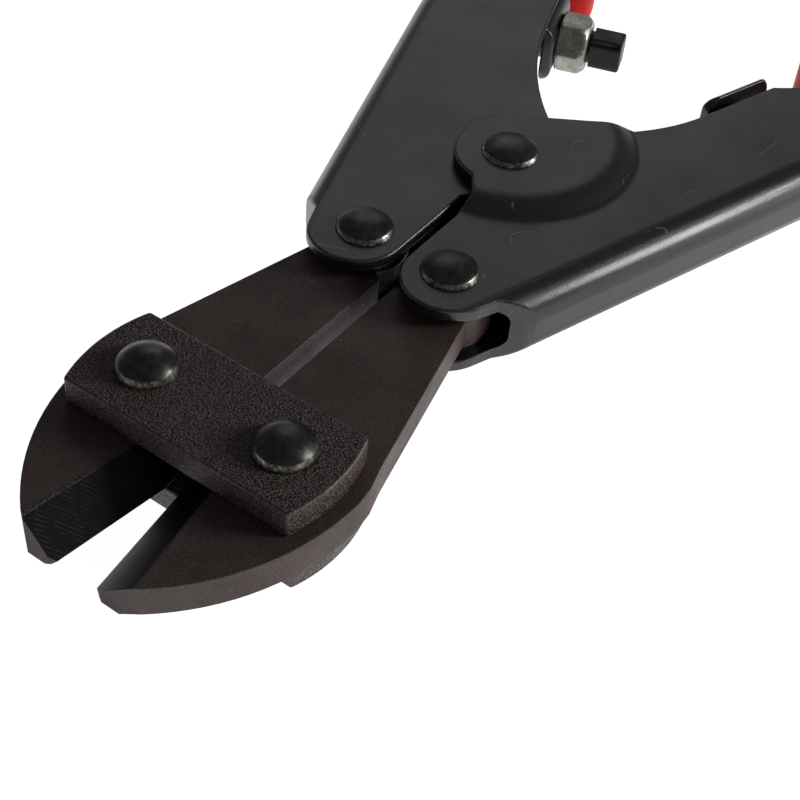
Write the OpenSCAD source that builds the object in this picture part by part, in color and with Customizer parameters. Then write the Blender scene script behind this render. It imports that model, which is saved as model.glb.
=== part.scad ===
// Compact bolt cutters, about 8 inches long, stored with the jaws part open.
// Two jaws turn between a pair of jaw plates. Two pressed-steel channel handles
// pivot on the jaw tails and on one shared centre rivet, and a square-headed
// screw on the left handle sets how far they close.
// All shapes are laid out in the tool's own plane: the origin midway between the
// front rivets at half the jaw thickness, +Y towards the grips, +Z up.
// on_floor() then moves everything so that the tool lies on z = 0.

/* [Linkage] */
// Half the distance between the two front rivets
pivot_half = 10; // [9.8:0.1:10.2]
// Half the distance between the two tail rivets, jaws as stored
tail_half = 6.6; // [6.4:0.1:6.8]
// Front rivet to tail rivet of one jaw
jaw_arm = 37.1; // [36.5:0.1:37.5]
// Tail rivet to centre rivet of one handle
handle_arm = 24.7; // [24.5:0.1:25]
// Angle between each handle and the tool's centre line, as stored
splay = 18.7; // [18:0.1:19]
// Angle that each jaw is open by, as stored
jaw_open = 7.4; // [7:0.1:7.6]

/* [Jaws] */
// Jaw thickness
jaw_t = 4.4; // [4:0.1:4.6]
// Distance from the front rivets to the jaw tips
nose_reach = 22.4; // [22:0.1:23]
// Width of the ground upper bevel
bevel_w = 4.9; // [4:0.1:5.5]
// Height of the cutting edge above the jaw's lower face
edge_h = 0.6; // [0.4:0.1:1]
// Half the slit between the two jaw tails
tail_slit = 1.15; // [1.1:0.05:1.3]

/* [Jaw plates] */
// Plate thickness
plate_t = 3.8; // [3.4:0.1:4]
// Half the plate's width along the tool
plate_half = 7.2; // [6.8:0.1:7.6]
// Half the top plate's length at its rounded ends
plate_reach = 17.4; // [17:0.1:18]
// Half the bottom plate's length at its rounded ends
bottom_reach = 18.1; // [17:0.1:18.5]

/* [Handles] */
// Thickness of the pressed sheet
sheet = 1.8; // [1.6:0.1:1.9]
// Half the outer height of the channel
wall_top = 5.2; // [5.1:0.1:5.4]
// Outer radius of the channel's folded edge
fold_r = 4; // [3.5:0.1:4.4]
// Distance from the centre rivet out to the folded edge
fold_reach = 24; // [23.5:0.1:24.5]
// Distance from the centre rivet in to the open edge of the raised wall
raised_edge = 5.5; // [5:0.1:6]
// Distance from the centre rivet in to the open edge of the flat wall
flat_edge = 3.05; // [3:0.05:4.2]
// Radius of the lobe around the centre rivet
lobe_r = 7.6; // [7.2:0.1:8]
// Radius of the ear around the tail rivet
ear_r = 6.5; // [6:0.1:6.5]
// Angle by which the handle bends inwards at the grip
tang_turn = 9; // [7:0.5:10]

/* [Rivets] */
// Shank radius of the front rivets
front_shank_r = 3; // [2.8:0.1:3.2]
// Shank radius of the tail rivets and the centre rivet
shank_r = 2.5; // [2.3:0.1:2.6]
// Head radius of the front and tail rivets
head_r = 3.85; // [3.6:0.05:4]
// Head radius of the centre rivet
centre_head_r = 4; // [3.8:0.05:4.2]
// Height of the front rivet heads
front_head_h = 2.5; // [2.3:0.1:2.6]

/* [Closing stop] */
// Distance of the screw from the centre rivet, along the handle
stop_u = 41; // [40:0.5:41.5]
// Width of the screw's square head
square_w = 5; // [4.8:0.1:5.2]
// Length of the square head
square_h = 4.8; // [4:0.1:5]
// Screw length under the head
screw_len = 16; // [14:1:18]
// Nut width across its flats
nut_w = 8; // [7.5:0.1:8]
// Nut thickness
nut_t = 4.7; // [4:0.1:4.7]

/* [Grips] */
// Grip length
grip_len = 78; // [74:1:84]
// Half the grip's width at its waist
grip_half = 10.4; // [10:0.1:11]
// How far the finger guard stands out at the front of the grip
guard = 6; // [4:0.5:6.5]
// How much less far the right grip is pushed on
right_slip = 4; // [0:0.5:5]

/* [Hidden] */
$fn = 64;

slide_gap = 0.05;                        // between faces that slide on each other
shank_gap = 0.05;                        // around a shank that something turns on
open_gap = 0.15;                         // left handle's loose hole at the centre
eps = 0.02;                              // overlap that lets cutters pass a face

// Pivots in the tool's plane
front_pin = [pivot_half, 0];
tail_pin = [tail_half, sqrt(jaw_arm ^ 2 - (pivot_half - tail_half) ^ 2)];
centre_y = tail_pin[1] + sqrt(handle_arm ^ 2 - tail_half ^ 2);

// Heights from the mid-plane
plate_z = jaw_t / 2 + slide_gap;         // inner face of the jaw plates
wall_in = wall_top - sheet;              // inner face of the handle walls
step = sheet + slide_gap;                // rise of the raised lobe
raised_top = wall_top + step;
tail_head_h = 1.7;
rest_z = plate_z + plate_t + front_head_h;
centre_head_h = rest_z - raised_top;     // so that all low points share one plane

// Jaw outline. The shoulder is one arc about a point past the centre line.
shoulder_r = 30.9;
shoulder_c = [-11.7, 1.6];
nose_corner_x = 7.7;
nose_a = -acos((nose_corner_x - shoulder_c[0]) / shoulder_r);
nose_lean = 0.8;                         // the nose stands out this far at its foot
nose_low = [[4.1, -nose_reach - nose_lean], [6.6, -nose_reach - nose_lean]];
nose_heel = [8.2, -22];
waist = [11.75, 33.3];                   // narrowest place of the jaw's tail
jaw_tail_r = 5.4;
jaw_tail_c = [7.1, tail_pin[1]];
heel_closed = [0, -6.5];                 // inner end of the cutting edge, jaws shut
edge_tip_closed = [0, -nose_reach + 1.05];
mouth_gap = 0.02;                        // left between the edges when shut
bevel_back = 3.4;                        // the bevel runs this far past the heel

// Handle outline in its own plane: x along the handle from the centre rivet,
// y towards the other handle.
ear_plan = tail_pin + [0.7, -0.7];       // the ear is a little off its rivet
ear_c = to_handle(ear_plan);
tail_hole = to_handle(tail_pin);
slit_half = ear_plan[0] - ear_r;         // half the slit between the two ears
neck_y = centre_y - 10.3;
raised_rear = [1, 0.6];                  // the lobe is a little longer at the back
flat_rear = [1, 1.15];
flank_a = 37.5;                          // slope of the lobe's rear flank
raised_fillet = 28;                      // from the flank into the raised wall's edge
flat_fillet = 48.5;                      // and into the flat wall's edge
raised_shoulder = 45.3;                  // the walls narrow from here to the tang
flat_shoulder = 47.5;
tang_x = 50;
tang_half = 8;
tang_y = tang_half - fold_reach;
tang_len = 76;
tang_slim = 0.3;                         // the tang is this much smaller all round
tang_lap = 1.2;                          // and starts this far inside the channel
fold_start = -14;                        // front end of the folded edge
mouth_top = [-18.4, -21.4];              // the fold's front end slants back to here

// Raised lobe: a flat-topped cone pressed up out of one wall
pad_c = [3, 3.4];
pad_base_r = 19.8;
pad_top_r = 14.6;
pad_foot = wall_top - sheet / 2;         // the cone starts inside the wall
pad_slope = atan((raised_top - pad_foot) / (pad_base_r - pad_top_r));
rim_run = 1.5;                           // the rim's rounding takes this much off the top
rim_r = rim_run / tan(pad_slope / 2);
pad_wall = 1;                            // how much smaller the hollow under it is

// Stop tab, folded out of the flat wall
tab_0 = 35.2;
tab_1 = 47.3;
tab_out = -1.5;
tab_corner = 2.8;
tab_fold = 2.8;
collar_r = 3.2;
collar_len = 2;
head_clear = 0.5;                        // gap between the lock nut and the head

// Grip sections, in the tang's own plane
grip_front = 3;
guard_s = 9;                             // where the finger guard stands out most
guard_len = 9;
swell = 0.9;                             // finger swells along the inner side
swell_pitch = 21;
grip_round = 5;                          // corner radius at both ends
layers = [[rest_z, 3], [rest_z - 0.9, 1.2], [rest_z - 2.3, 0]];

mid_y = (grip_end_y() - nose_reach - nose_lean) / 2;

// Rotates a point about the origin
function turned(p, a) = [p[0] * cos(a) - p[1] * sin(a), p[0] * sin(a) + p[1] * cos(a)];
// A point of the closed right jaw, as it lies with the jaw open
function opened(p) = front_pin + turned(p - front_pin, jaw_open);
// A point of the tool's plane, in the right handle's own plane
function to_handle(p) = turned([p[0], p[1] - centre_y], splay - 90);
// How far back the grip reaches, in the tool's plane
function grip_end_y() = centre_y
    + turned([tang_x, tang_y] + turned([grip_len + grip_front + right_slip, tang_half], tang_turn), 90 - splay)[1];
// Points along an arc
function arc(c, r, a0, a1, n) =
    [for (i = [0:n]) c + r * [cos(a0 + (a1 - a0) * i / n), sin(a0 + (a1 - a0) * i / n)]];
// Inner side of the grip: guard, waist, then finger swells
function inner_y(s) = grip_half - 1 + guard * exp(-((s - guard_s) / guard_len) ^ 2)
    + swell * (1 - cos(360 * (s - guard_s) / swell_pitch)) / 2 * (s > guard_s ? 1 : 0);
// Outer side of the grip: a shallow palm curve
function outer_y(s) = -grip_half - 0.6 * sin(180 * (s - grip_front) / grip_len);
// How far a rounded corner draws the side in, at distance d from the grip's end
function corner(d) = d < grip_round ? grip_round - sqrt(grip_round ^ 2 - (grip_round - d) ^ 2) : 0;

// ---- placing -------------------------------------------------------------
module on_floor() translate([0, -mid_y, rest_z]) children();
module right_side() translate([0, centre_y, 0]) rotate(90 - splay) children();
module left_side() rotate([0, 180, 0]) right_side() children();
module at_tang() translate([tang_x, tang_y, 0]) rotate(tang_turn) children();
// Extrudes a drawing of (y, z) along x
module along_x(length) rotate([90, 0, 90]) linear_extrude(length) children();

// ---- rivets, washers and bush --------------------------------------------
// One rivet head on the plane z = 0: a steep conical flank and a domed crown
module rivet_head(r, h) {
    flank = h * 0.4;
    crown_r = r * 0.9;
    dome_h = h - flank;
    dome_r = (crown_r ^ 2 + dome_h ^ 2) / (2 * dome_h);
    cylinder(r1 = r, r2 = crown_r, h = flank);
    intersection() {
        translate([0, 0, h - dome_r]) sphere(dome_r, $fn = 96);
        cylinder(r = crown_r, h = h);
    }
}

module rivet(shank, r, h, half_grip) {
    cylinder(r = shank, h = 2 * half_grip, center = true);
    for (side = [0, 180]) rotate([side, 0, 0]) translate([0, 0, half_grip]) rivet_head(r, h);
}

module front_rivet() translate(front_pin)
    rivet(front_shank_r, head_r, front_head_h, plate_z + plate_t);

module tail_rivet() translate(tail_pin) rivet(shank_r, head_r, tail_head_h, wall_top);

module tail_washer() translate([tail_pin[0], tail_pin[1], plate_z]) difference() {
    cylinder(r = 5.9, h = wall_in - plate_z);
    translate([0, 0, -1]) cylinder(r = shank_r, h = 4);
}

// ---- jaws ----------------------------------------------------------------
module jaw_outline() {
    tip = opened(edge_tip_closed + [mouth_gap, 0]);
    heel = opened(heel_closed + [mouth_gap, 0]);
    polygon(concat(
        [heel, tip, nose_low[0], nose_low[1], nose_heel],
        arc(shoulder_c, shoulder_r, nose_a + 2, 0, 16),
        [[18.9, 4.2], [17.9, 7.4], waist, jaw_tail_c,
         [tail_slit, tail_pin[1] - 4], [tail_slit, heel[1] + 2]]));
    translate(jaw_tail_c) circle(jaw_tail_r);
}

// Cuts the wide upper bevel and the small lower one, along the cutting edge
module bevel_cutter() {
    edge_z = edge_h - jaw_t / 2;
    run = nose_reach + bevel_back + heel_closed[1] + 4;
    translate(front_pin) rotate(jaw_open) translate([mouth_gap - pivot_half, heel_closed[1] + bevel_back, 0])
        rotate([90, 0, 0]) linear_extrude(run) {
            polygon([[0, edge_z], [bevel_w, jaw_t / 2], [bevel_w, jaw_t], [-4, jaw_t], [-4, edge_z]]);
            polygon([[0, edge_z], [edge_h, -jaw_t / 2], [edge_h, -jaw_t], [-4, -jaw_t], [-4, edge_z]]);
        }
}

// Leans the nose back towards the jaw's upper face
module nose_cutter() along_x(20) polygon([[-nose_reach, jaw_t / 2], [-nose_reach, jaw_t],
    [-2 * nose_reach, jaw_t], [-2 * nose_reach, -jaw_t / 2], [-nose_reach - nose_lean, -jaw_t / 2]]);

module jaw() difference() {
    linear_extrude(jaw_t, center = true) jaw_outline();
    bevel_cutter();
    nose_cutter();
    translate(front_pin) cylinder(r = front_shank_r + shank_gap, h = 2 * jaw_t, center = true);
    translate(tail_pin) cylinder(r = shank_r + shank_gap, h = 2 * jaw_t, center = true);
}

// ---- jaw plates ----------------------------------------------------------
module jaw_plate(reach) {
    end_r = (plate_half ^ 2 + 1.3 ^ 2) / 2.6;
    difference() {
        translate([0, 0, plate_z]) linear_extrude(plate_t) intersection() {
            square([2 * reach + 2, 2 * plate_half], center = true);
            translate([reach - end_r, 0]) circle(end_r, $fn = 128);
            translate([end_r - reach, 0]) circle(end_r, $fn = 128);
        }
        for (x = [-pivot_half, pivot_half])
            translate([x, 0, 0]) cylinder(r = front_shank_r, h = 20);
    }
}

// ---- handles -------------------------------------------------------------
// A strip of (y, z) from a rounded folded edge at y0 to a plain edge at y1
module folded_strip(y0, y1, half_h, r) {
    translate([y0 + r, -half_h]) square([y1 - y0 - r, 2 * half_h]);
    translate([y0, r - half_h]) square([r, 2 * (half_h - r)]);
    for (z = [r - half_h, half_h - r]) translate([y0 + r, z]) circle(r);
}

// Channel of folded sheet along x, open towards +y, slimmed all round
module channel(y0, y1, slim, length) along_x(length) difference() {
    folded_strip(y0 + slim, y1 - slim, wall_top - slim, fold_r - slim);
    folded_strip(y0 + slim + sheet, y1 + 1, wall_in - slim, fold_r - slim - sheet);
}

// Outline of one wall, from the ear to the tang
module wall_outline(rear_lobe, edge_reach, fillet_r, shoulder_x) {
    flank_0 = rear_lobe + lobe_r * [sin(flank_a), cos(flank_a)];
    slit_front = to_handle([slit_half, ear_plan[1]]);
    slit_back = to_handle([slit_half, neck_y]);
    corner_x = flank_0[0] + (flank_0[1] + edge_reach) / tan(flank_a);
    fillet_run = fillet_r * tan(flank_a / 2);
    flank_end = [corner_x - fillet_run * cos(flank_a), fillet_run * sin(flank_a) - edge_reach];
    edge_start = [corner_x + fillet_run, -edge_reach];
    translate(ear_c) circle(ear_r);
    circle(lobe_r);
    translate(rear_lobe) circle(lobe_r);
    difference() {
        polygon([slit_front, slit_back, [-lobe_r, -1.3], flank_0, flank_end, edge_start,
            [shoulder_x, -edge_reach], [tang_x - 1, tang_y + tang_half], [tang_x + 1, tang_y + tang_half],
            [tang_x + 1, -fold_reach], [fold_start, -fold_reach], mouth_top,
            ear_c - [0, ear_r], ear_c - [2, 0]]);
        translate([edge_start[0], fillet_r - edge_reach]) circle(fillet_r, $fn = 128);
    }
}

module raised_outline() wall_outline(raised_rear, raised_edge, raised_fillet, raised_shoulder);

// The cone of the raised lobe, from one height and radius to another
module pad(z0, r0, z1, r1) translate([pad_c[0], pad_c[1], z0])
    cylinder(r1 = r0, r2 = r1, h = z1 - z0, $fn = 128);

// Tab folded up out of the lower wall, with rounded upper corners
module stop_tab() intersection() {
    translate([tab_0, 0, 0]) along_x(tab_1 - tab_0) difference() {
        mirror([1, 0]) folded_strip(-tab_out, 6, wall_top, tab_fold);
        mirror([1, 0]) folded_strip(sheet - tab_out, 7, wall_in, tab_fold - sheet);
        translate([-8, -wall_in]) square([8 + tab_out - sheet, 2 * wall_top]);
    }
    rotate([90, 0, 0]) linear_extrude(20, center = true) {
        translate([tab_0, -wall_top]) square([tab_1 - tab_0, 2 * wall_top - tab_corner]);
        for (x = [tab_0 + tab_corner, tab_1 - tab_corner])
            translate([x, wall_top - tab_corner]) circle(tab_corner);
        translate([tab_0 + tab_corner, 0]) square([tab_1 - tab_0 - 2 * tab_corner, wall_top]);
    }
}

module stamping(centre_hole_r) difference() {
    union() {
        difference() {
            intersection() {
                translate([-32, 0, 0]) channel(-fold_reach, 20, 0, 84);
                union() {
                    linear_extrude(wall_top) raised_outline();
                    translate([0, 0, -wall_top]) linear_extrude(wall_top)
                        wall_outline(flat_rear, flat_edge, flat_fillet, flat_shoulder);
                }
            }
            pad(wall_in - eps, pad_base_r - pad_wall, wall_top + eps, pad_top_r);
        }
        intersection() {
            difference() {
                translate(pad_c) rotate_extrude($fn = 128) polygon(concat(
                    [[0, pad_foot], [pad_base_r, pad_foot]],
                    arc([pad_top_r - rim_run, raised_top - rim_r], rim_r, 90 - pad_slope, 90, 4),
                    [[0, raised_top]]));
                pad(wall_in - eps, pad_base_r - pad_wall + eps, raised_top - sheet, pad_top_r - pad_wall);
            }
            translate([0, 0, wall_in]) linear_extrude(10) raised_outline();
        }
        at_tang() translate([-tang_lap, 0, 0]) channel(-tang_half, tang_half, tang_slim, tang_len);
        stop_tab();
    }
    cylinder(r = centre_hole_r, h = 40, center = true);
    translate(tail_hole) cylinder(r = shank_r, h = 40, center = true);
}

// ---- closing stop --------------------------------------------------------
// Stands a piece's z axis along the stop screw, pointing at the other handle
module at_stop(y) translate([stop_u, y, 0]) rotate([-90, 0, 0]) children();

module tapped_stamping() difference() {
    union() {
        stamping(shank_r + open_gap);
        at_stop(tab_out - sheet - collar_len) cylinder(r = collar_r, h = collar_len + sheet / 2);
    }
    at_stop(-10) cylinder(r = shank_r, h = 20);
}

module hex_nut() difference() {
    intersection() {
        cylinder(r = nut_w / sqrt(3), h = nut_t, $fn = 6);
        translate([0, 0, nut_t / 2 - 8.2]) cylinder(r1 = nut_w / 2 + 8, r2 = nut_w / 2 - 0.25, h = 8.2 + nut_t / 2);
        translate([0, 0, -0.3]) cylinder(r1 = nut_w / 2 - 0.25, r2 = nut_w / 2 + 8, h = 8.2);
    }
    translate([0, 0, -1]) cylinder(r = shank_r, h = nut_t + 2);
}

module square_screw() {
    head_y = tab_out + nut_t + head_clear;
    at_stop(head_y) {
        translate([0, 0, square_h / 2]) intersection() {
            cube([square_w, square_w, square_h], center = true);
            cylinder(r = square_w * 0.62, h = square_h, center = true);
        }
        translate([0, 0, -screw_len]) cylinder(r = shank_r - shank_gap, h = screw_len + 1);
    }
}

// ---- grips ---------------------------------------------------------------
module grip_outline(inset) {
    s0 = grip_front + inset;
    s1 = grip_front + grip_len - inset;
    steps = 40;
    along = [for (i = [0:steps]) s0 + (s1 - s0) * i / steps];
    back = [for (i = [steps:-1:0]) along[i]];
    polygon(concat(
        [for (s = along) [s, inner_y(s) - inset - corner(min(s - s0, s1 - s))]],
        [for (s = back) [s, outer_y(s) + inset + corner(min(s - s0, s1 - s))]]));
}

module grip(slip) difference() {
    at_tang() translate([slip, 0, 0]) for (layer = layers)
        linear_extrude(2 * layer[0], center = true) grip_outline(layer[1]);
    at_tang() translate([-tang_lap, 0, 0]) along_x(tang_len)
        folded_strip(tang_slim - tang_half, tang_half - tang_slim, wall_top - tang_slim, fold_r - tang_slim);
    translate([flat_shoulder, 0, 0]) along_x(tang_x + 1 - flat_shoulder)
        folded_strip(-fold_reach, tang_y + tang_half + 1.2, wall_top, fold_r);
}

// ---- the tool's pieces ---------------------------------------------------
module top_jaw_plate() color("#26242a") on_floor() jaw_plate(plate_reach);
module bottom_jaw_plate() color("#26242a") on_floor() mirror([0, 0, 1]) jaw_plate(bottom_reach);
module left_jaw() color("#2e2a2c") on_floor() mirror([1, 0, 0]) jaw();
module right_jaw() color("#2e2a2c") on_floor() jaw();
module left_front_rivet() color("#1c1c1f") on_floor() mirror([1, 0, 0]) front_rivet();
module right_front_rivet() color("#1c1c1f") on_floor() front_rivet();
module left_handle() color("#302e31") on_floor() left_side() tapped_stamping();
module right_handle() color("#302e31") on_floor() right_side() stamping(shank_r);
module left_tail_rivet() color("#1c1c1f") on_floor() mirror([1, 0, 0]) tail_rivet();
module right_tail_rivet() color("#1c1c1f") on_floor() tail_rivet();
module left_upper_tail_washer() color("#3a383a") on_floor() mirror([1, 0, 0]) tail_washer();
module left_lower_tail_washer() color("#3a383a") on_floor() rotate([0, 180, 0]) tail_washer();
module right_upper_tail_washer() color("#3a383a") on_floor() tail_washer();
module right_lower_tail_washer() color("#3a383a") on_floor() mirror([0, 0, 1]) tail_washer();
module centre_rivet() color("#1c1c1f") on_floor() translate([0, centre_y, 0])
    rivet(shank_r, centre_head_r, centre_head_h, raised_top);
module centre_bush() color("#5c5a58") on_floor() translate([0, centre_y, 0]) difference() {
    cylinder(r = 4, h = 2 * (wall_in - slide_gap), center = true);
    cylinder(r = shank_r, h = 20, center = true);
}
module stop_screw() color("#3c383a") on_floor() left_side() square_screw();
module stop_lock_nut() color("#8d918c") on_floor() left_side() at_stop(tab_out) hex_nut();
module left_grip() color("#d8201c") on_floor() left_side() grip(0);
module right_grip() color("#d8201c") on_floor() right_side() grip(right_slip);

top_jaw_plate();
bottom_jaw_plate();
left_jaw();
right_jaw();
left_front_rivet();
right_front_rivet();
left_handle();
right_handle();
left_tail_rivet();
right_tail_rivet();
left_upper_tail_washer();
left_lower_tail_washer();
right_upper_tail_washer();
right_lower_tail_washer();
centre_rivet();
centre_bush();
stop_screw();
stop_lock_nut();
left_grip();
right_grip();
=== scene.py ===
"""Compact bolt cutters: finished pieces and a plain studio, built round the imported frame.

All lengths are in metres. MM turns millimetres into metres.
"""

import math

import bmesh
import bpy
from mathutils import Matrix, Vector


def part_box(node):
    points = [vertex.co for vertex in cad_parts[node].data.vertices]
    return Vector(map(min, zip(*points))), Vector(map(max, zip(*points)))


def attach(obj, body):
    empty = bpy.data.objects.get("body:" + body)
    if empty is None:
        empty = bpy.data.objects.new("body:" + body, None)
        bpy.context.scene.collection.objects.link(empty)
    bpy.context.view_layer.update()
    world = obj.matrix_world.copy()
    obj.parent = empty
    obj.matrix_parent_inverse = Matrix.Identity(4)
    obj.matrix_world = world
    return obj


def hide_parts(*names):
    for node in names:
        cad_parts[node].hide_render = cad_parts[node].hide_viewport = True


bl_info = {
    "name": "Compact Bolt Cutters",
    "version": (1, 0, 0),
    "blender": (4, 5, 0),
    "location": "3D View > Sidebar > Cutters",
    "description": "Finishes the steel pieces, moulds the grips and sets up the studio",
    "category": "Add Mesh",
}

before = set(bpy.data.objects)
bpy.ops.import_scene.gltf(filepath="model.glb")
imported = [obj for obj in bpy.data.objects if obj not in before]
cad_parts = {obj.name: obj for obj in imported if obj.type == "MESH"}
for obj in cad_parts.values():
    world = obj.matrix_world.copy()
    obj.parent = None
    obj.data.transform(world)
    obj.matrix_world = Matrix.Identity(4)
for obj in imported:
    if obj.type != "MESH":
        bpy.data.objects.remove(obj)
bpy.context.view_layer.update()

MM = 0.001

# ---- where things are, from the frame ----------------------------------------


def middle(node):
    """The middle of a node's box."""
    low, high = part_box(node)
    return (low + high) / 2


CENTRE = middle("centre_rivet")
MID_Z = CENTRE.z
JAW_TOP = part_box("right_jaw")[1].z
FRONT_PIN = middle("right_front_rivet")

# The right handle's own plane: x along the handle, y towards the other handle
SPLAY = math.radians(18.7)
RIGHT_PLANE = Matrix.Translation(CENTRE) @ Matrix.Rotation(math.pi / 2 - SPLAY, 4, "Z")
TURN_OVER = (
    Matrix.Translation((0, 0, MID_Z))
    @ Matrix.Rotation(math.pi, 4, "Y")
    @ Matrix.Translation((0, 0, -MID_Z))
)
LEFT_PLANE = TURN_OVER @ RIGHT_PLANE
TANG_TURN = math.radians(9)
TANG = Matrix.Translation((50 * MM, -16 * MM, 0)) @ Matrix.Rotation(TANG_TURN, 4, "Z")

# Places on the pieces that the edge tests below look for
NEAR = 0.05 * MM
FRONT_HOLE_RIM = 3.3 * MM
HANDLE_HOLE_RIM = 3.2 * MM
TAIL_HOLE = Vector((-20.4, -13.9)) * MM
UNDER_GRIP = 49.5 * MM
CUTTING_EDGE_Z = MID_Z - 1.6 * MM
HEAD_UNDERSIDE = 3.7 * MM


def linear(hex_colour):
    """Turns an sRGB hex colour into a linear one with alpha."""
    parts = [int(hex_colour[i : i + 2], 16) / 255 for i in (1, 3, 5)]
    return tuple(
        p / 12.92 if p <= 0.04045 else ((p + 0.055) / 1.055) ** 2.4 for p in parts
    ) + (1.0,)


# ---- settings ----------------------------------------------------------------


def length(name, description, default):
    return bpy.props.FloatProperty(
        name=name, description=description, default=default * MM, min=0, unit="LENGTH"
    )


def colour(name, description, default):
    return bpy.props.FloatVectorProperty(
        name=name,
        description=description,
        default=linear(default),
        size=4,
        min=0,
        max=1,
        subtype="COLOR",
    )


class CutterSizes(bpy.types.PropertyGroup):
    """Roundings, the grip's corner and its groove depth, which a maker would change."""

    plate_round: length("Plate edge", "Rounding of the jaw plates' edges", 0.32)
    jaw_round: length("Jaw edge", "Rounding of the jaws' edges", 0.14)
    bevel_round: length("Bevel line", "Width of the line where a bevel starts", 0.4)
    sheet_round: length("Sheet edge", "Rounding of the pressed handles' edges", 0.4)
    rivet_round: length("Rivet edge", "Rounding between a rivet's flank and crown", 0.12)
    washer_round: length("Washer edge", "Rounding of the washers' and the bush's edges", 0.15)
    screw_round: length("Screw edge", "Rounding of the stop screw's square head", 0.45)
    nut_round: length("Nut edge", "Rounding of the lock nut's corners", 0.3)
    grip_corner: length("Grip corner", "Corner radius of the grip's section", 3.4)
    groove_depth: length("Grip grooves", "Depth of the grooves across the grips", 0.6)


class CutterColours(bpy.types.PropertyGroup):
    """Colours of the finishes."""

    plate: colour("Jaw plates", "Powder coat on the jaw plates", "#201717")
    jaw: colour("Jaws", "Coating on the jaws", "#332827")
    bevel: colour("Bevels", "Ground bevels under their thin coat", "#080505")
    rivet: colour("Rivets", "Black oxide on the rivets", "#4a4b48")
    handle: colour("Handles", "Enamel on the handles", "#171414")
    screw: colour("Screw", "Black oxide on the stop screw", "#231e1e")
    nut: colour("Nut", "Dull zinc on the lock nut", "#a3a59b")
    washer: colour("Washers", "Oiled steel of washers and bush", "#4a4644")
    grip: colour("Grips", "Vinyl of the grips", "#ae0d07")
    floor: colour("Floor", "Studio floor", "#f6f6f5")


class CutterStudio(bpy.types.PropertyGroup):
    """Strengths of the studio's lights."""

    sky: bpy.props.FloatProperty(
        name="Room light", description="Light from all round", default=0.12
    )
    back: bpy.props.FloatProperty(
        name="Back light",
        description="Big soft light behind and above",
        default=1.15,
        unit="POWER",
    )
    table: bpy.props.FloatProperty(
        name="Light table", description="Light from under the paper", default=0.93
    )
    side: bpy.props.FloatProperty(
        name="Side light", description="Soft light from the right", default=7.0, unit="POWER"
    )


# ---- shaping helpers ---------------------------------------------------------


def only(piece):
    """Selects this piece alone and makes it active."""
    bpy.ops.object.select_all(action="DESELECT")
    piece.select_set(True)
    bpy.context.view_layer.objects.active = piece


def edit(piece, what="EDGE"):
    """Opens a piece for editing with nothing selected."""
    only(piece)
    bpy.ops.object.mode_set(mode="EDIT")
    bpy.ops.mesh.select_mode(type=what)
    bpy.ops.mesh.select_all(action="DESELECT")


def done():
    """Leaves edit mode."""
    bpy.ops.object.mode_set(mode="OBJECT")


def pick(piece, kind, wanted):
    """In edit mode, selects the edges or faces that pass a test and says how many."""
    grid = bmesh.from_edit_mesh(piece.data)
    chosen = [part for part in getattr(grid, kind) if wanted(part)]
    for part in chosen:
        part.select_set(True)
    bmesh.update_edit_mesh(piece.data)
    return len(chosen)


def merged_copy(node, name, closer=0.002 * MM):
    """A copy of a frame node, with its loose triangles merged and its flats made whole.

    Corners closer together than closer become one.
    """
    piece = bpy.data.objects.new(name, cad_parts[node].data.copy())
    bpy.context.scene.collection.objects.link(piece)
    piece.data.materials.clear()
    edit(piece)
    bpy.ops.mesh.select_all(action="SELECT")
    bpy.ops.mesh.remove_doubles(threshold=closer)
    bpy.ops.mesh.dissolve_limited(angle_limit=math.radians(0.4))
    done()
    return piece


def round_edges(piece, wanted, width, segments=3, worn=-1):
    """Rounds the edges that pass a test. worn is the material slot of the new faces; on the
    handles that slot's lighter tone is a painted highlight.
    """
    edit(piece)
    if not pick(piece, "edges", lambda edge: edge.is_manifold and wanted(edge)):
        done()
        raise RuntimeError(f"no edge of {piece.name} was found to round")
    bpy.ops.mesh.bevel(
        offset=width, segments=segments, profile=0.5, affect="EDGES",
        clamp_overlap=False, loop_slide=False, material=worn,
    )
    done()


def sharp(edge, least=28):
    """True if an edge stands out and turns by more than least degrees."""
    return edge.is_convex and edge.calc_face_angle(0) > math.radians(least)


def finish_shading(piece, angle=32):
    """Smooth shading with the flats kept flat."""
    only(piece)
    bpy.ops.object.shade_smooth_by_angle(angle=math.radians(angle))
    bpy.ops.object.modifier_add(type="WEIGHTED_NORMAL")
    piece.modifiers[-1].keep_sharp = True
    bpy.ops.object.modifier_apply(modifier=piece.modifiers[-1].name)


def hand_over(piece, body, nodes):
    """Joins a finished piece to its body and hides the frame nodes it replaces."""
    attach(piece, body)
    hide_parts(*nodes)


# ---- finishes ----------------------------------------------------------------


def add_node(tree, kind, settings=None, links=None):
    """Adds one shader node. A setting is an input's name or number, or a property."""
    made = tree.nodes.new(kind)
    for key, value in (settings or {}).items():
        if isinstance(key, int) or key in made.inputs:
            made.inputs[key].default_value = value
        else:
            setattr(made, key, value)
    for key, output in (links or {}).items():
        tree.links.new(output, made.inputs[key])
    return made


def new_finish(name, **shader_settings):
    """An empty finish: its node tree, its shader and the object's own coordinates."""
    finish = bpy.data.materials.new(name)
    finish.use_nodes = True
    tree = finish.node_tree
    shader = tree.nodes["Principled BSDF"]
    for key, value in shader_settings.items():
        shader.inputs[key.replace("_", " ").title().replace("Ior", "IOR")].default_value = value
    place = add_node(tree, "ShaderNodeTexCoord").outputs["Object"]
    return finish, tree, shader, place


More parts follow.
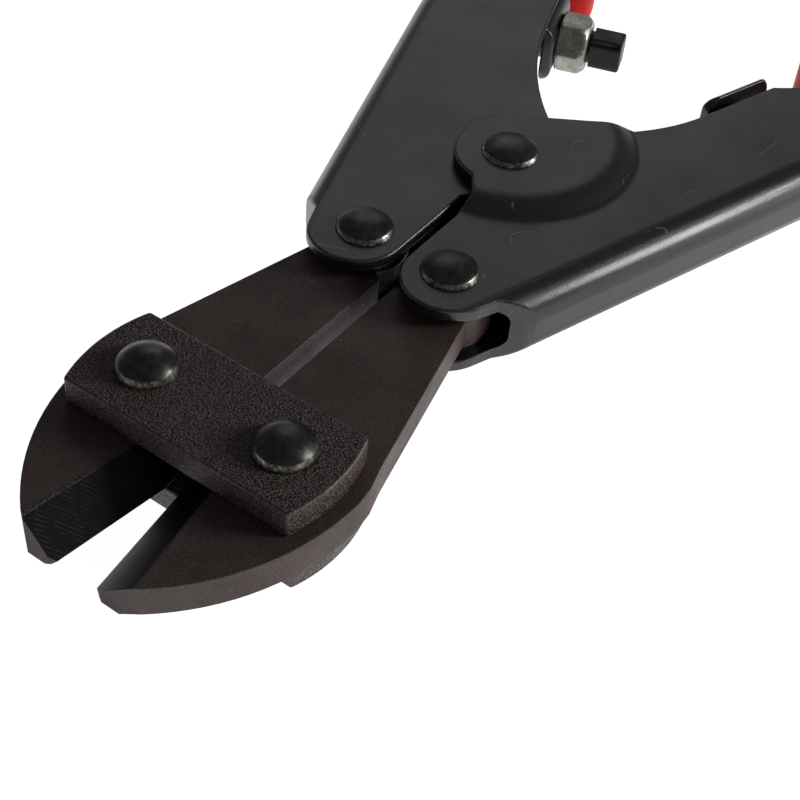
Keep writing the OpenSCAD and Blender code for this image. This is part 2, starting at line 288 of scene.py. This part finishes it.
def grained_coat(
    name, low, high, grain, depth, rough, patch, shade=0.3, dust=0.3, hairs=0.0, crisp=0.15,
    **shader_settings
):
    """Paint on steel: pits of the low tone, tops of the high one, slow patches and dust.

    grain and patch are sizes in metres and depth is the bump's height in metres. rough
    is the lowest and highest roughness. shade, dust and hairs say from 0 to 1 how much
    the patches darken, and how strongly dust and hair scratches show. crisp is how far
    the noise moves from the low tone to the high one.
    """
    finish, tree, shader, place = new_finish(name, **shader_settings)
    fine = add_node(
        tree, "ShaderNodeTexNoise", {"Scale": 1 / grain, "Detail": 2.0, "Roughness": 0.55},
        {"Vector": place},
    )
    slow = add_node(
        tree, "ShaderNodeTexNoise", {"Scale": 1 / patch, "Detail": 4.0, "Roughness": 0.62},
        {"Vector": place},
    )
    # Dust and hairs are finer than this on the real coat, and are drawn as coarse as
    # they need to show. Dust: one dot about 0.15 mm across in each 5 mm cell.
    cells = add_node(
        tree, "ShaderNodeTexVoronoi", {"Scale": 1 / (5 * MM)}, {"Vector": place}
    )
    # Hairs: short stretches of the level lines of a slow noise, about 0.1 mm wide
    wave = add_node(
        tree, "ShaderNodeTexNoise", {"Scale": 1 / (11 * MM), "Detail": 1.0}, {"Vector": place}
    )
    level = add_node(
        tree, "ShaderNodeMath", {"operation": "SUBTRACT", 1: 0.5}, {0: wave.outputs["Fac"]}
    )
    off = add_node(tree, "ShaderNodeMath", {"operation": "ABSOLUTE"}, {0: level.outputs[0]})
    # Each pattern is cut to the range in which it shows, and given its least and most
    cut = {}
    for part, pattern, start, end, least, most in (
        ("dot", cells.outputs["Distance"], 0.014, 0.03, dust, 0.0),
        ("line", off.outputs[0], 0.0012, 0.004, hairs, 0.0),
        ("gap", slow.outputs["Fac"], 0.57, 0.6, 0.0, 1.0),
        ("grain", fine.outputs["Fac"], 0.5 - crisp, 0.5 + crisp, 0.0, 1.0),
        ("patch", slow.outputs["Fac"], 0.4, 0.62, 0.0, 1.0),
        ("rough", slow.outputs["Fac"], 0.35, 0.65, *rough),
    ):
        cut[part] = add_node(
            tree,
            "ShaderNodeMapRange",
            {"From Min": start, "From Max": end, "To Min": least, "To Max": most},
            {"Value": pattern},
        ).outputs["Result"]
    hair = add_node(
        tree, "ShaderNodeMath", {"operation": "MULTIPLY"}, {0: cut["line"], 1: cut["gap"]}
    )
    marks = add_node(
        tree, "ShaderNodeMath", {"operation": "MAXIMUM"}, {0: cut["dot"], 1: hair.outputs[0]}
    )
    coat = add_node(
        tree, "ShaderNodeMix", {"data_type": "RGBA", 6: low, 7: high}, {0: cut["grain"]}
    )
    patched = add_node(
        tree, "ShaderNodeMix",
        {"data_type": "RGBA", "blend_type": "MULTIPLY", 7: (1 - shade,) * 3 + (1,)},
        {0: cut["patch"], 6: coat.outputs[2]},
    )
    marked = add_node(
        tree, "ShaderNodeMix", {"data_type": "RGBA", 7: linear("#8a867c")},
        {0: marks.outputs[0], 6: patched.outputs[2]},
    )
    bump = add_node(
        tree,
        "ShaderNodeBump",
        {"Strength": 1.0, "Distance": depth},
        {"Height": fine.outputs["Fac"]},
    )
    for socket, output in (
        ("Base Color", marked.outputs[2]),
        ("Roughness", cut["rough"]),
        ("Normal", bump.outputs["Normal"]),
    ):
        tree.links.new(output, shader.inputs[socket])
    return finish


def lighter(tone, by):
    """A tone moved towards white by a factor."""
    return tuple(min(1, c * by) for c in tone[:3]) + (1.0,)


def ground_bevel(tone):
    """Milled tool steel under a thin black coat: glossy, with the cutter's arcs across it.

    The arcs are about 0.45 mm apart, the feed of a side mill, and swing about a point
    11 mm past the centre line and 42 mm ahead of the front rivets.
    """
    finish, tree, shader, place = new_finish(
        "milled_tool_steel_thin_coat", specular_ior_level=0.25
    )
    axes = add_node(tree, "ShaderNodeSeparateXYZ", {}, {"Vector": place}).outputs
    mirrored = add_node(tree, "ShaderNodeMath", {"operation": "ABSOLUTE"}, {0: axes["X"]})
    flat = add_node(
        tree, "ShaderNodeCombineXYZ", {}, {"X": mirrored.outputs[0], "Y": axes["Y"]}
    )
    about = add_node(
        tree, "ShaderNodeMapping", {"Location": (11 * MM, 42 * MM - FRONT_PIN.y, 0)},
        {"Vector": flat.outputs[0]},
    )
    # A wave's rings lie pi / 10 over its scale apart
    arcs = add_node(
        tree,
        "ShaderNodeTexWave",
        {
            "wave_type": "RINGS", "rings_direction": "Z", "Scale": math.pi / 10 / (0.45 * MM),
            "Distortion": 2.5, "Detail": 3.0, "Detail Scale": 0.3,
        },
        {"Vector": about.outputs[0]},
    ).outputs["Fac"]
    faint = add_node(
        tree, "ShaderNodeTexNoise", {"Scale": 1 / (1.5 * MM), "Detail": 3.0}, {"Vector": place}
    )
    ridge = add_node(
        tree, "ShaderNodeMapRange", {"From Min": 0.75, "From Max": 1.0}, {"Value": arcs}
    )
    worn = add_node(
        tree, "ShaderNodeMapRange", {"From Min": 0.45, "From Max": 0.65},
        {"Value": faint.outputs["Fac"]},
    )
    depth = add_node(
        tree, "ShaderNodeMath", {"operation": "MULTIPLY"},
        {0: ridge.outputs["Result"], 1: worn.outputs["Result"]},
    ).outputs[0]
    lines = add_node(
        tree, "ShaderNodeMix", {"data_type": "RGBA", 6: tone, 7: linear("#2b2422")}, {0: depth}
    )
    bump = add_node(
        tree, "ShaderNodeBump", {"Strength": 1.0, "Distance": 0.008 * MM}, {"Height": depth}
    )
    gloss = add_node(
        tree, "ShaderNodeMapRange", {"To Min": 0.3, "To Max": 0.45}, {"Value": depth}
    )
    for socket, output in (
        ("Base Color", lines.outputs[2]),
        ("Roughness", gloss.outputs["Result"]),
        ("Normal", bump.outputs["Normal"]),
    ):
        tree.links.new(output, shader.inputs[socket])
    return finish


def jaw_finishes(colours):
    # Thin matte phosphate coat on forged tool steel: brown-black, barely grained
    coat = grained_coat(
        "phosphated_tool_steel", colours.jaw, lighter(colours.jaw, 2.4), 0.2 * MM, 0.06 * MM,
        (0.5, 0.62), 7 * MM, 0.2, 0.3, 0.1, specular_ior_level=0.3,
    )
    # The coat gathers grit where the bevel starts
    grit = grained_coat(
        "gritty_bevel_line", colours.bevel, linear("#35342f"), 0.3 * MM, 0.2 * MM,
        (0.35, 0.6), 3 * MM, 0.2, specular_ior_level=0.5,
    )
    edge = grained_coat(
        "phosphated_edge", lighter(colours.jaw, 0.9), linear("#3c3a36"), 0.3 * MM, 0.05 * MM,
        (0.4, 0.6), 4 * MM, 0.4, specular_ior_level=0.4,
    )
    return [coat, edge, ground_bevel(colours.bevel), grit]


def plate_finishes(colours):
    # Powder coat with a leather grain about 0.4 mm across: matte, dark in its pits
    coat = grained_coat(
        "leather_grain_powder_coat", lighter(colours.plate, 0.1), lighter(colours.plate, 8.0),
        0.26 * MM, 0.6 * MM, (0.3, 0.4), 6 * MM, 0.15, 0.3, 0.1, 0.06, specular_ior_level=0.4,
    )
    # The coat thins over the edges, so the steel's grey comes through in specks
    edge = grained_coat(
        "powder_coat_thin_edge", lighter(colours.plate, 1.2), linear("#504d44"), 0.3 * MM,
        0.1 * MM, (0.35, 0.5), 3 * MM, 0.5, specular_ior_level=0.45,
    )
    return [coat, edge]


def rivet_finishes(colours):
    # Black-oxide rivet steel, burnished by the heading tool: a dark mirror with soft dents
    crown = grained_coat(
        "burnished_black_oxide", lighter(colours.rivet, 0.7), lighter(colours.rivet, 1.25),
        0.9 * MM, 0.03 * MM, (0.3, 0.42), 1.8 * MM, 0.25, 0.1, metallic=1.0,
    )
    # The flanks are a lighter grey in short streaks: a painted reflection of the bright floor
    flank = grained_coat(
        "rubbed_rivet_flank", lighter(colours.rivet, 1.2), linear("#a3a298"), 0.45 * MM, 0.01 * MM,
        (0.3, 0.42), 1.2 * MM, 0.5, 0.0, metallic=1.0,
    )
    return [crown, flank]


def handle_finishes(colours):
    # Satin stoving enamel on pressed sheet: smooth, with dust under it and a soft sheen
    coat = grained_coat(
        "satin_stoving_enamel", colours.handle, lighter(colours.handle, 1.5), 0.35 * MM,
        0.02 * MM, (0.3, 0.38), 12 * MM, 0.3, 0.6, 0.45, specular_ior_level=0.6,
    )
    # The rounded cut edges get a lighter tone: a painted highlight along the edges
    edge = grained_coat(
        "enamel_over_cut_edge", lighter(colours.handle, 1.1), linear("#3c3a36"), 0.4 * MM,
        0.02 * MM, (0.3, 0.42), 5 * MM, 0.4, specular_ior_level=0.6,
    )
    return [coat, edge]


def small_steel(name, tone, grain, rough, metallic):
    """Turned or stamped small parts."""
    return grained_coat(
        name, lighter(tone, 0.8), lighter(tone, 1.3), grain, 0.02 * MM, rough, 2.5 * MM, 0.3,
        0.2, metallic=metallic,
    )


def grip_vinyl(tone):
    """Dip-moulded soft vinyl: saturated red with a fine pebble and a broad sheen."""
    return grained_coat(
        "dip_moulded_red_vinyl", tone, lighter(tone, 1.15), 0.6 * MM, 0.02 * MM, (0.42, 0.5),
        20 * MM, 0.1, 0.1, specular_ior_level=0.12,
    )


def wear_finishes(piece, finishes):
    for finish in finishes:
        piece.data.materials.append(finish)


# ---- the pieces --------------------------------------------------------------


class CUTTERS_OT_plates(bpy.types.Operator):
    """Finishes the two jaw plates: rounded die-cut edges under a grained powder coat"""

    bl_idname = "cutters.plates"
    bl_label = "Jaw plates"

    def execute(self, context):
        finishes = plate_finishes(context.scene.cutter_colours)
        width = context.scene.cutter_sizes.plate_round
        for node in ("top_jaw_plate", "bottom_jaw_plate"):
            piece = merged_copy(node, node + "_coated")
            wear_finishes(piece, finishes)
            round_edges(piece, lambda e: sharp(e) and not near_front_pin(e), width, 3, 1)
            finish_shading(piece)
            hand_over(piece, "plates", [node])
        return {"FINISHED"}


def near_front_pin(edge):
    """True if an edge belongs to a front rivet's hole."""
    spot = (edge.verts[0].co + edge.verts[1].co) / 2
    return math.hypot(abs(spot.x) - FRONT_PIN.x, spot.y - FRONT_PIN.y) < FRONT_HOLE_RIM


def is_upper_bevel(face):
    """True if a face leans as the wide bevels on top of the jaws do."""
    return 0.72 < face.normal.z < 0.86


def is_lower_bevel(face):
    """True if a face leans as the narrow bevels under the jaws do."""
    return -0.8 < face.normal.z < -0.6


class CUTTERS_OT_jaws(bpy.types.Operator):
    """Finishes the two jaws: crisp edges, ground bevels and a gritty line above them"""

    bl_idname = "cutters.jaws"
    bl_label = "Jaws"

    def execute(self, context):
        sizes = context.scene.cutter_sizes
        finishes = jaw_finishes(context.scene.cutter_colours)

        def is_bevel(face):
            return is_upper_bevel(face) and abs(face.normal.x) > 0.3

        def bevel_line(edge):
            high = min(v.co.z for v in edge.verts) > JAW_TOP - NEAR
            return high and any(is_bevel(f) for f in edge.link_faces)

        def outline(edge):
            cutting = max(abs(v.co.z - CUTTING_EDGE_Z) for v in edge.verts) < NEAR
            touches = any(is_bevel(f) or f.normal.z < -0.5 for f in edge.link_faces)
            return sharp(edge, 40) and not cutting and not touches and not near_front_pin(edge)

        for node in ("left_jaw", "right_jaw"):
            piece = merged_copy(node, node + "_ground")
            wear_finishes(piece, finishes)
            for face in piece.data.polygons:
                if is_upper_bevel(face) or is_lower_bevel(face):
                    face.material_index = 2
            round_edges(piece, bevel_line, sizes.bevel_round, 2, 3)
            round_edges(piece, outline, sizes.jaw_round, 2, 1)
            finish_shading(piece, 30)
            hand_over(piece, node + "_body", [node])
        return {"FINISHED"}


class CUTTERS_OT_rivets(bpy.types.Operator):
    """Finishes the five rivets: burnished crowns over brighter flanks, their brightness a painted
    reflection
    """

    bl_idname = "cutters.rivets"
    bl_label = "Rivets"

    def execute(self, context):
        width = context.scene.cutter_sizes.rivet_round
        finishes = rivet_finishes(context.scene.cutter_colours)
        for node, body in (
            ("left_front_rivet", "plates"),
            ("right_front_rivet", "plates"),
            ("left_tail_rivet", "left_handle_body"),
            ("right_tail_rivet", "right_handle_body"),
            ("centre_rivet", "right_handle_body"),
        ):
            piece = merged_copy(node, node + "_headed")
            wear_finishes(piece, finishes)
            # The sloping flank faces take slot 1, the painted reflection
            for face in piece.data.polygons:
                face.material_index = 1 if 0.1 < abs(face.normal.z) < 0.62 else 0
            round_edges(piece, lambda e: sharp(e, 12), width, 2)
            finish_shading(piece, 40)
            hand_over(piece, body, [node])
        return {"FINISHED"}


class CUTTERS_OT_handles(bpy.types.Operator):
    """Finishes the two pressed handles: rolled sheet edges, painted lighter as a highlight, under
    satin enamel
    """

    bl_idname = "cutters.handles"
    bl_label = "Handles"

    def execute(self, context):
        sizes = context.scene.cutter_sizes
        finishes = handle_finishes(context.scene.cutter_colours)

        for side, plane in (("left", LEFT_PLANE), ("right", RIGHT_PLANE)):
            to_plane = plane.inverted()

            def cut_edge(edge):
                spots = [to_plane @ vert.co for vert in edge.verts]
                if max(spot.x for spot in spots) > UNDER_GRIP:
                    return False
                for hole in (Vector((0, 0)), TAIL_HOLE):
                    if all((spot.xy - hole).length < HANDLE_HOLE_RIM for spot in spots):
                        return False
                return sharp(edge, 40)

            node = side + "_handle"
            # Corners under 0.1 mm apart would catch the rounding, so they are merged
            piece = merged_copy(node, node + "_enamelled", 0.1 * MM)
            wear_finishes(piece, finishes)
            # The rounded edges take slot 1, the painted edge highlight
            round_edges(piece, cut_edge, sizes.sheet_round, 3, 1)
            finish_shading(piece, 35)
            hand_over(piece, side + "_handle_body", [node])
        return {"FINISHED"}


class CUTTERS_OT_washers(bpy.types.Operator):
    """Finishes the tail washers and the centre bush: oiled steel with turned edges"""

    bl_idname = "cutters.washers"
    bl_label = "Washers and bush"

    def execute(self, context):
        # Plain turned steel, darkened by oil: grey, with a soft gloss
        tone = context.scene.cutter_colours.washer
        width = context.scene.cutter_sizes.washer_round
        finish = small_steel("oiled_turned_steel", tone, 0.3 * MM, (0.3, 0.5), 0.9)
        for node, body in (
            ("left_upper_tail_washer", "left_handle_body"),
            ("left_lower_tail_washer", "left_handle_body"),
            ("right_upper_tail_washer", "right_handle_body"),
            ("right_lower_tail_washer", "right_handle_body"),
            ("centre_bush", "right_handle_body"),
        ):
            piece = merged_copy(node, node + "_turned")
            wear_finishes(piece, [finish])
            round_edges(piece, sharp, width, 2)
            finish_shading(piece)
            hand_over(piece, body, [node])
        return {"FINISHED"}


class CUTTERS_OT_stop(bpy.types.Operator):
    """Finishes the closing stop: the square-headed screw and its lock nut"""

    bl_idname = "cutters.stop"
    bl_label = "Closing stop"

    def execute(self, context):
        colours = context.scene.cutter_colours
        sizes = context.scene.cutter_sizes
        # Black oxide over a rolled screw: dark, slightly brown, half gloss
        screw = merged_copy("stop_screw", "stop_screw_blacked")
        wear_finishes(
            screw, [small_steel("black_oxide_screw", colours.screw, 0.35 * MM, (0.35, 0.5), 0.6)]
        )
        to_plane = LEFT_PLANE.inverted()

        def clear_of_shank(edge):
            # The shank fills the head's underside, which stays sharp
            under = all(abs((to_plane @ v.co).y - HEAD_UNDERSIDE) < NEAR for v in edge.verts)
            return sharp(edge, 30) and not under

        round_edges(screw, clear_of_shank, sizes.screw_round, 4)
        finish_shading(screw, 40)
        hand_over(screw, "stop_screw_body", ["stop_screw"])
        # Dull zinc plate: grey-green, softly shiny, worn at its corners
        nut = merged_copy("stop_lock_nut", "stop_lock_nut_plated")
        wear_finishes(
            nut, [small_steel("dull_zinc_plate", colours.nut, 0.4 * MM, (0.35, 0.5), 0.6)]
        )
        round_edges(nut, lambda e: sharp(e, 20), sizes.nut_round, 3)
        finish_shading(nut, 40)
        hand_over(nut, "left_handle_body", ["stop_lock_nut"])
        return {"FINISHED"}


# ---- grips -------------------------------------------------------------------

# In millimetres along the tang: the grip's two ends and the middle of its finger guard
GRIP_FRONT, GRIP_BACK, GUARD = 3.0, 81.0, 9.0
# Radius of the rounded ends, and the outermost sections' distance from the ends
END_ROUND, END_GAP = 5, 0.02
# The grip between its rounded ends is drawn in strips of equal length
STRIPS = 46
STRIP = (GRIP_BACK - GRIP_FRONT - 2 * END_ROUND) / STRIPS
HALF_HEIGHT, HEIGHT_DRAW = 8.5, 0.6
# Every third strip between these places is a groove, this far from the middle line
GROOVES_FROM, GROOVES_TO, GROOVE_REACH, GROOVE_EVERY = 22, 68, 6.2, 3
GROOVE_WALL = 0.3 * MM
# The pocket for the tang, in metres
POCKET_MIDDLE = (34.8 * MM, 0, 0)
POCKET_SIZE = (80 * MM, 15.3 * MM, 9.7 * MM)
# The right grip sits this much further back on its tang than the left one
RIGHT_SLIP = 4 * MM


def grip_inner(s):
    """The finger side: a guard, a waist and three swells. All in millimetres."""
    swells = 0.45 * (1 - math.cos(math.tau * (s - GUARD) / 21)) if s > GUARD else 0
    return 9.4 + 6 * math.exp(-(((s - GUARD) / 9) ** 2)) + swells


def grip_outer(s):
    """The palm side: one shallow curve."""
    return -10.4 - 0.6 * math.sin(math.pi * (s - GRIP_FRONT) / (GRIP_BACK - GRIP_FRONT))


def grip_stations():
    """Where the grip's sections stand: close together round the two ends."""
    ends = [END_ROUND * (1 - math.cos(math.radians(a))) for a in range(15, 90, 15)]
    body = [GRIP_FRONT + END_ROUND + STRIP * i for i in range(STRIPS + 1)]
    return (
        [GRIP_FRONT + END_GAP] + [GRIP_FRONT + e for e in ends] + body
        + [GRIP_BACK - e for e in reversed(ends)] + [GRIP_BACK - END_GAP]
    )


def grip_section(s):
    """Middle, half width and half height of the grip at s, drawn in at both ends."""
    near = min(s - GRIP_FRONT, GRIP_BACK - s)
    draw = 0
    if near < END_ROUND:
        draw = END_ROUND - math.sqrt(max(0, END_ROUND**2 - (END_ROUND - near) ** 2))
    inner, outer = grip_inner(s) - draw, grip_outer(s) + draw
    return (inner + outer) / 2, (inner - outer) / 2, HALF_HEIGHT - HEIGHT_DRAW * draw


def mould_grip(name, sizes):
    """Draws one rounded section out along the tang, and reshapes it at each station."""
    stations = grip_stations()
    centre, half_w, half_h = grip_section(stations[0])
    bpy.ops.object.select_all(action="DESELECT")
    bpy.ops.mesh.primitive_plane_add(size=2 * MM, rotation=(0, -math.pi / 2, 0))
    piece = bpy.context.object
    piece.name = name
    bpy.ops.object.transform_apply(location=False, rotation=True, scale=False)
    edit(piece, "VERT")
    bpy.ops.mesh.select_all(action="SELECT")
    bpy.ops.transform.resize(value=(1, half_w, half_h), center_override=(0, 0, 0))
    bpy.ops.mesh.bevel(affect="VERTICES", offset=sizes.grip_corner, segments=7)
    divide_straights(piece)
    bpy.ops.mesh.select_all(action="SELECT")
    bpy.ops.transform.translate(value=(stations[0] * MM, centre * MM, 0))
    for before, here in zip(stations, stations[1:]):
        c0, w0, h0 = grip_section(before)
        c1, w1, h1 = grip_section(here)
        bpy.ops.mesh.extrude_region_move(
            TRANSFORM_OT_translate={"value": ((here - before) * MM, (c1 - c0) * MM, 0)}
        )
        bpy.ops.transform.resize(
            value=(1, w1 / w0, h1 / h0), center_override=(here * MM, c1 * MM, 0)
        )
    bpy.ops.mesh.select_all(action="SELECT")
    bpy.ops.mesh.normals_make_consistent(inside=False)
    cut_grooves(piece, sizes.groove_depth)
    done()
    return piece


def divide_straights(piece):
    """Divides the section's four straight sides, so that grooves can be cut in them."""
    bpy.ops.mesh.select_mode(type="EDGE")
    bpy.ops.mesh.select_all(action="DESELECT")
    # The corners' own edges are all much shorter than this
    pick(piece, "edges", lambda edge: edge.calc_length() > 3 * MM)
    bpy.ops.mesh.subdivide(number_cuts=7)


def cut_grooves(piece, depth):
    """Presses narrow grooves across the flat sides of the grip."""
    bpy.ops.mesh.select_mode(type="FACE")
    bpy.ops.mesh.select_all(action="DESELECT")

    def in_groove(face):
        spot = face.calc_center_median() / MM
        strip = math.floor((spot.x - GRIP_FRONT - END_ROUND) / STRIP)
        return (
            abs(face.normal.z) > 0.9 and GROOVES_FROM < spot.x < GROOVES_TO
            and abs(spot.y) < GROOVE_REACH and strip % GROOVE_EVERY == 0
        )

    pick(piece, "faces", in_groove)
    bpy.ops.mesh.inset(thickness=GROOVE_WALL, depth=-depth, use_boundary=True)
    bpy.ops.mesh.select_all(action="DESELECT")


class CUTTERS_OT_grips(bpy.types.Operator):
    """Moulds one vinyl grip, hollows it for the tang, and copies it to the other handle"""

    bl_idname = "cutters.grips"
    bl_label = "Grips"

    def execute(self, context):
        finish = grip_vinyl(context.scene.cutter_colours.grip)
        right = mould_grip("right_grip_moulded", context.scene.cutter_sizes)
        bpy.ops.object.select_all(action="DESELECT")
        bpy.ops.mesh.primitive_cube_add(size=1, location=POCKET_MIDDLE)
        pocket = bpy.context.object
        edit(pocket)
        bpy.ops.mesh.select_all(action="SELECT")
        bpy.ops.transform.resize(value=POCKET_SIZE, center_override=POCKET_MIDDLE)
        done()
        only(right)
        bpy.ops.object.modifier_add(type="BOOLEAN")
        right.modifiers[-1].object = pocket
        right.modifiers[-1].operation = "DIFFERENCE"
        bpy.ops.object.modifier_apply(modifier=right.modifiers[-1].name)
        bpy.data.objects.remove(pocket)
        wear_finishes(right, [finish])
        left = bpy.data.objects.new("left_grip_moulded", right.data.copy())
        context.scene.collection.objects.link(left)
        for piece, plane, side, slip in (
            (right, RIGHT_PLANE, "right", RIGHT_SLIP), (left, LEFT_PLANE, "left", 0)
        ):
            only(piece)
            piece.matrix_world = plane @ TANG @ Matrix.Translation((slip, 0, 0))
            bpy.ops.object.transform_apply(location=True, rotation=True, scale=True)
            finish_shading(piece, 40)
            hand_over(piece, side + "_handle_body", [side + "_grip"])
        return {"FINISHED"}


# ---- studio ------------------------------------------------------------------

FLOOR_SIZE = 4
FIBRES_PER_METRE = 900.0
# Name, place, width in metres and strength setting of each lamp, all aimed at one spot
LAMPS = (
    ("back_softbox", Vector((-0.55, 0.85, 0.75)), 0.9, "back"),
    ("side_softbox", Vector((0.84, 0.5, 0.4)), 0.34, "side"),
)
LAMP_TARGET = Vector((0, -0.04, 0.01))
# The camera's place from the middle between the front rivets, and its two axes
EYE = Vector((79.51666, -88.34233, 128.22136)) * MM + Vector((0, FRONT_PIN.y, MID_Z))
ACROSS = Vector((0.80981253, 0.58322892, 0.06362145))
UPWARD = Vector((-0.45267103, 0.55215721, 0.70015095))
LENS_LENGTH, SENSOR_WIDTH = 68.48, 36.0


class CUTTERS_OT_stage(bpy.types.Operator):
    """Sets up the pale floor, the soft lights and the camera"""

    bl_idname = "cutters.stage"
    bl_label = "Studio"

    def execute(self, context):
        scene = context.scene
        studio = scene.cutter_studio
        bpy.ops.object.select_all(action="DESELECT")
        bpy.ops.mesh.primitive_plane_add(size=FLOOR_SIZE, location=(0, 0, 0))
        floor = context.object
        floor.name = "studio_floor"
        paper, tree, shader, place = new_finish("matte_studio_paper", roughness=0.9)
        shader.inputs["Specular IOR Level"].default_value = 0.0
        # The paper lies on a light table, so that shadows on it stay faint
        shader.inputs["Emission Color"].default_value = (1, 1, 1, 1)
        shader.inputs["Emission Strength"].default_value = studio.table
        # Paper fibre is finer than this, and is drawn as coarse as it needs to show
        fibre = add_node(
            tree, "ShaderNodeTexNoise", {"Scale": FIBRES_PER_METRE}, {"Vector": place}
        )
        tree.links.new(
            add_node(
                tree, "ShaderNodeMix",
                {"data_type": "RGBA", 6: scene.cutter_colours.floor, 7: (0.93, 0.93, 0.93, 1)},
                {0: fibre.outputs["Fac"]},
            ).outputs[2],
            shader.inputs["Base Color"],
        )
        floor.data.materials.append(paper)

        room = bpy.data.worlds.new("studio_room")
        room.use_nodes = True
        room.node_tree.nodes["Background"].inputs["Color"].default_value = (1, 1, 1, 1)
        room.node_tree.nodes["Background"].inputs["Strength"].default_value = studio.sky
        scene.world = room

        for name, spot, size, strength in LAMPS:
            lamp = bpy.data.lights.new(name, "AREA")
            lamp.shape = "DISK"
            lamp.size = size
            lamp.energy = getattr(studio, strength)
            holder = bpy.data.objects.new(name, lamp)
            scene.collection.objects.link(holder)
            holder.location = spot
            holder.rotation_euler = (LAMP_TARGET - spot).to_track_quat("-Z", "Y").to_euler()

        lens = bpy.data.cameras.new("studio_camera")
        lens.lens, lens.sensor_width = LENS_LENGTH, SENSOR_WIDTH
        lens.clip_start, lens.clip_end = 0.01, 20
        camera = bpy.data.objects.new("studio_camera", lens)
        scene.collection.objects.link(camera)
        axes = Matrix((ACROSS, UPWARD, ACROSS.cross(UPWARD))).transposed()
        camera.matrix_world = Matrix.Translation(EYE) @ axes.to_4x4()
        scene.camera = camera
        scene.view_settings.view_transform = "Standard"
        return {"FINISHED"}


# ---- sidebar and run ---------------------------------------------------------


class CUTTERS_PT_panel(bpy.types.Panel):
    """Lists the building steps with their settings"""

    bl_idname = "CUTTERS_PT_panel"
    bl_label = "Bolt cutters"
    bl_space_type = "VIEW_3D"
    bl_region_type = "UI"
    bl_category = "Cutters"

    def draw(self, context):
        for group in ("cutter_sizes", "cutter_colours", "cutter_studio"):
            settings = getattr(context.scene, group)
            for name in settings.__annotations__:
                self.layout.prop(settings, name)
        for step in STEPS:
            self.layout.operator(step.bl_idname)


STEPS = (
    CUTTERS_OT_plates,
    CUTTERS_OT_jaws,
    CUTTERS_OT_rivets,
    CUTTERS_OT_handles,
    CUTTERS_OT_washers,
    CUTTERS_OT_stop,
    CUTTERS_OT_grips,
    CUTTERS_OT_stage,
)
CLASSES = (CutterSizes, CutterColours, CutterStudio, *STEPS, CUTTERS_PT_panel)


def register():
    for cls in CLASSES:
        bpy.utils.register_class(cls)
    bpy.types.Scene.cutter_sizes = bpy.props.PointerProperty(type=CutterSizes)
    bpy.types.Scene.cutter_colours = bpy.props.PointerProperty(type=CutterColours)
    bpy.types.Scene.cutter_studio = bpy.props.PointerProperty(type=CutterStudio)


def unregister():
    del bpy.types.Scene.cutter_sizes
    del bpy.types.Scene.cutter_colours
    del bpy.types.Scene.cutter_studio
    for cls in reversed(CLASSES):
        bpy.utils.unregister_class(cls)


def main():
    register()
    for step in STEPS:
        group, action = step.bl_idname.split(".")
        getattr(getattr(bpy.ops, group), action)()


if __name__ == "__main__":
    main()
